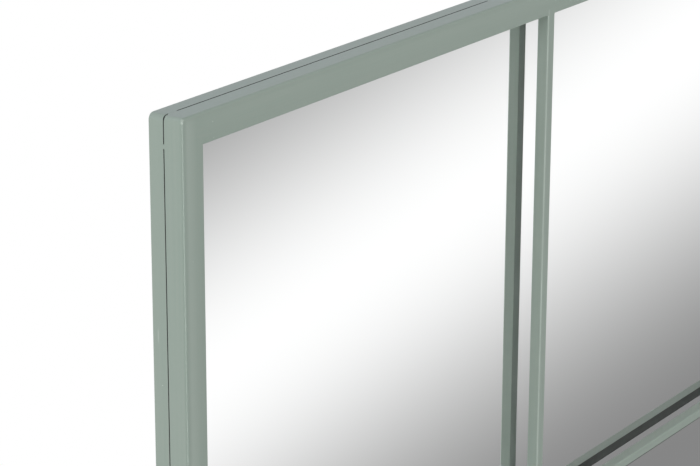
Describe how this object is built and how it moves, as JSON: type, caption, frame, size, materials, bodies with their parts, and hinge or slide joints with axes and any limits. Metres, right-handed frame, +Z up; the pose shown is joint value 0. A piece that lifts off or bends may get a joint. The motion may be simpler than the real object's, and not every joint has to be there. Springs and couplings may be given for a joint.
{
  "type": "window-pane wall mirror",
  "caption": "Wall mirror behind a welded steel window frame with thin glazing bars, with a back board held by turn buttons and D-ring strap hangers on the back.",
  "frame": {"origin": "centre of the back, on the plane of the rear frame and the back board that goes towards the wall", "axes": "+X to the right as seen from the front, +Y from the mirror's front towards the wall, +Z up"},
  "size_m": [0.8624, 0.0306, 1.2328],
  "materials": {
    "sage_paint": "satin sage green paint over steel",
    "silvered_glass": "clear mirror",
    "foam": "closed-cell foam tape",
    "card": "plain corrugated card",
    "hardboard": "smooth brown hardboard",
    "zinc": "bright zinc plate",
    "rubber": "matt black rubber"
  },
  "bodies": {
    "frame": {"front_rail_top": "sage_paint", "front_rail_bottom": "sage_paint", "front_stile_left": "sage_paint", "front_stile_right": "sage_paint", "mullion_1": "sage_paint", "transom_1_1": "sage_paint", "transom_1_2": "sage_paint", "transom_2_1": "sage_paint", "transom_2_2": "sage_paint", "rear_rail_top": "sage_paint", "rear_rail_bottom": "sage_paint", "rear_stile_left": "sage_paint", "rear_stile_right": "sage_paint", "mirror_glass": "silvered_glass", "foam_tape_top": "foam", "foam_tape_bottom": "foam", "foam_tape_left": "foam", "foam_tape_right": "foam", "packing_sheet": "card", "back_board": "hardboard", "button_screw_top_1": "zinc", "button_screw_top_2": "zinc", "button_screw_right_1": "zinc", "button_screw_right_2": "zinc", "button_screw_right_3": "zinc", "button_screw_bottom_1": "zinc", "button_screw_bottom_2": "zinc", "button_screw_left_1": "zinc", "button_screw_left_2": "zinc", "button_screw_left_3": "zinc", "hanger_strap_left": "zinc", "hanger_strap_right": "zinc", "hanger_screw_left_upper": "zinc", "hanger_screw_left_lower": "zinc", "hanger_screw_right_upper": "zinc", "hanger_screw_right_lower": "zinc", "wall_bumper_left": "rubber", "wall_bumper_right": "rubber"},
    "button_top_1": {"turn_button_top_1": "zinc"},
    "button_top_2": {"turn_button_top_2": "zinc"},
    "button_right_1": {"turn_button_right_1": "zinc"},
    "button_right_2": {"turn_button_right_2": "zinc"},
    "button_right_3": {"turn_button_right_3": "zinc"},
    "button_bottom_1": {"turn_button_bottom_1": "zinc"},
    "button_bottom_2": {"turn_button_bottom_2": "zinc"},
    "button_left_1": {"turn_button_left_1": "zinc"},
    "button_left_2": {"turn_button_left_2": "zinc"},
    "button_left_3": {"turn_button_left_3": "zinc"},
    "ring_left": {"hanger_ring_left": "zinc"},
    "ring_right": {"hanger_ring_right": "zinc"}
  },
  "joints": [
    {"name": "button_top_1_swivel", "type": "hinge", "parent": "frame", "child": "button_top_1", "pos_m": [-0.2212, 0, 0.6104], "axis": [0, 1, 0], "continuous": true},
    {"name": "button_top_2_swivel", "type": "hinge", "parent": "frame", "child": "button_top_2", "pos_m": [0.2212, 0, 0.6104], "axis": [0, 1, 0], "continuous": true},
    {"name": "button_right_1_swivel", "type": "hinge", "parent": "frame", "child": "button_right_1", "pos_m": [0.4252, 0, 0.3664], "axis": [0, 1, 0], "continuous": true},
    {"name": "button_right_2_swivel", "type": "hinge", "parent": "frame", "child": "button_right_2", "pos_m": [0.4252, 0, 0], "axis": [0, 1, 0], "continuous": true},
    {"name": "button_right_3_swivel", "type": "hinge", "parent": "frame", "child": "button_right_3", "pos_m": [0.4252, 0, -0.3664], "axis": [0, 1, 0], "continuous": true},
    {"name": "button_bottom_1_swivel", "type": "hinge", "parent": "frame", "child": "button_bottom_1", "pos_m": [-0.2212, 0, -0.6104], "axis": [0, 1, 0], "continuous": true},
    {"name": "button_bottom_2_swivel", "type": "hinge", "parent": "frame", "child": "button_bottom_2", "pos_m": [0.2212, 0, -0.6104], "axis": [0, 1, 0], "continuous": true},
    {"name": "button_left_1_swivel", "type": "hinge", "parent": "frame", "child": "button_left_1", "pos_m": [-0.4252, 0, 0.3664], "axis": [0, 1, 0], "continuous": true},
    {"name": "button_left_2_swivel", "type": "hinge", "parent": "frame", "child": "button_left_2", "pos_m": [-0.4252, 0, 0], "axis": [0, 1, 0], "continuous": true},
    {"name": "button_left_3_swivel", "type": "hinge", "parent": "frame", "child": "button_left_3", "pos_m": [-0.4252, 0, -0.3664], "axis": [0, 1, 0], "continuous": true},
    {"name": "ring_left_swing", "type": "hinge", "parent": "frame", "child": "ring_left", "pos_m": [-0.4238, 0.00255, 0.2864], "axis": [1, 0, 0], "range_deg": [0, 176]},
    {"name": "ring_right_swing", "type": "hinge", "parent": "frame", "child": "ring_right", "pos_m": [0.4238, 0.00255, 0.2864], "axis": [1, 0, 0], "range_deg": [0, 176]}
  ]
}
